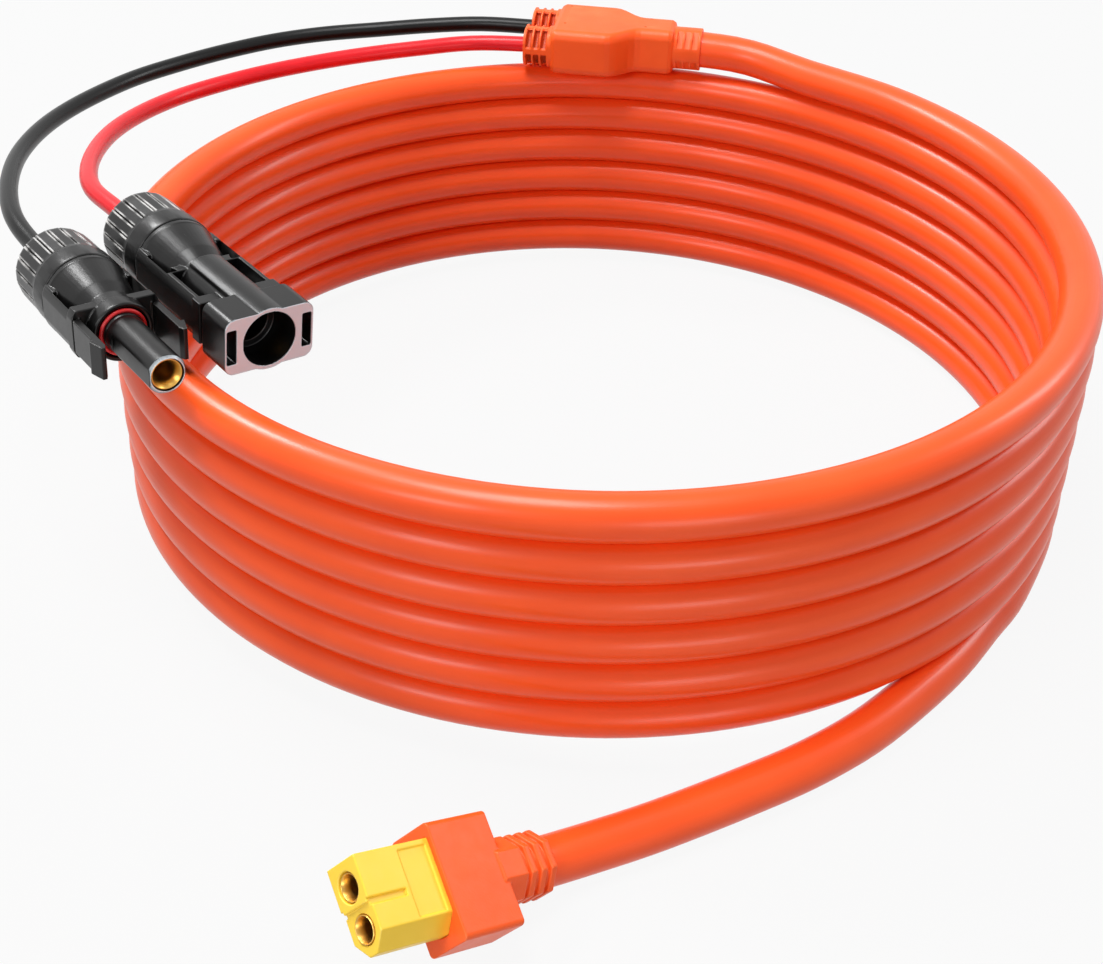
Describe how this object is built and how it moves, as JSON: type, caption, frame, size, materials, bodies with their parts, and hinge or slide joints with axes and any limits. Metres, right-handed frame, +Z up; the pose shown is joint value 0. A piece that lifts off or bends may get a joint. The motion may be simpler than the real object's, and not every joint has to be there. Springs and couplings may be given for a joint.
{
  "type": "solar cable connector",
  "caption": "Coiled orange two-core adapter cable: splitter with black and red leads to two latching solar connectors, and a yellow two-pole plug at the far end.",
  "frame": {"origin": "on the surface the coil lies on, under the middle of the box round the connectors, splitter and plug", "axes": "+Z up along the coil's axis, +Y from the plug towards the splitter, +X towards the side where the trunk leaves the coil"},
  "size_m": [0.2488, 0.2893, 0.0801],
  "materials": {
    "orange_sheath": "smooth PVC, low gloss",
    "orange_moulding": "soft-touch overmoulding",
    "red_insulation": "smooth insulation",
    "black_insulation": "smooth insulation",
    "black_shell": "satin moulded nylon",
    "yellow_shell": "satin moulded nylon",
    "ivory_core": "hidden inner moulding",
    "grey_cage": "hidden moulding",
    "dark_sleeve": "heat-shrink",
    "grey_rubber": "soft seal",
    "red_rubber": "O-ring",
    "brass": "turned, tinned inside",
    "copper": "stranded, stripped"
  },
  "bodies": {
    "cable_set": {"trunk_coil": "orange_sheath", "trunk_first_turn": "orange_sheath", "trunk_tail": "orange_sheath", "black_lead": "black_insulation", "red_lead": "red_insulation", "splitter_overmould": "orange_moulding", "splitter_inner_mould": "ivory_core", "socket_housing": "black_shell", "socket_o_ring": "red_rubber", "socket_contact": "brass", "socket_contact_band": "brass", "socket_conductor": "copper", "pin_housing": "black_shell", "pin_contact": "brass", "pin_conductor": "copper", "plug_housing": "yellow_shell", "plug_contact_left": "brass", "plug_contact_right": "brass", "plug_overmould": "orange_moulding", "plug_red_core": "red_insulation", "plug_black_core": "black_insulation", "plug_sleeves": "dark_sleeve", "plug_conductors": "copper"},
    "socket_cage_carrier": {"socket_clamp_cage": "grey_cage", "socket_seal": "grey_rubber"},
    "socket_cap_nut": {"socket_nut": "black_shell"},
    "pin_cage_carrier": {"pin_clamp_cage": "grey_cage", "pin_seal": "grey_rubber"},
    "pin_cap_nut": {"pin_nut": "black_shell"},
    "left_latch_finger": {"socket_latch_left": "black_shell"},
    "right_latch_finger": {"socket_latch_right": "black_shell"}
  },
  "joints": [
    {"name": "socket_nut_travel", "type": "slide", "parent": "cable_set", "child": "socket_cage_carrier", "axis": [-0.6156, 0.7879, -0.0175], "range_m": [0, 0.0075]},
    {"name": "socket_nut_turn", "type": "hinge", "parent": "socket_cage_carrier", "child": "socket_cap_nut", "pos_m": [-0.06032, -0.0207, 0.06896], "axis": [-0.6156, 0.7879, -0.0175], "range_deg": [0, 1080]},
    {"name": "pin_nut_travel", "type": "slide", "parent": "cable_set", "child": "pin_cage_carrier", "axis": [-0.6479, 0.7613, 0.0262], "range_m": [0, 0.0075]},
    {"name": "pin_nut_turn", "type": "hinge", "parent": "pin_cage_carrier", "child": "pin_cap_nut", "pos_m": [-0.04528, -0.00791, 0.07121], "axis": [-0.6479, 0.7613, 0.0262], "range_deg": [0, 1080]},
    {"name": "left_latch_flex", "type": "hinge", "parent": "cable_set", "child": "left_latch_finger", "pos_m": [-0.03928, -0.03434, 0.0688], "axis": [-0.0443, -0.0567, -0.9974], "range_deg": [0, 6], "stiffness_Nm_per_rad": 0.3},
    {"name": "right_latch_flex", "type": "hinge", "parent": "cable_set", "child": "right_latch_finger", "pos_m": [-0.05219, -0.0444, 0.06995], "axis": [0.0443, 0.0567, 0.9974], "range_deg": [0, 6], "stiffness_Nm_per_rad": 0.3}
  ],
  "couplings": [
    {"joint": "socket_nut_travel", "follows": "socket_nut_turn", "m_per_rad": 0.00039789},
    {"joint": "pin_nut_travel", "follows": "pin_nut_turn", "m_per_rad": 0.00039789}
  ]
}
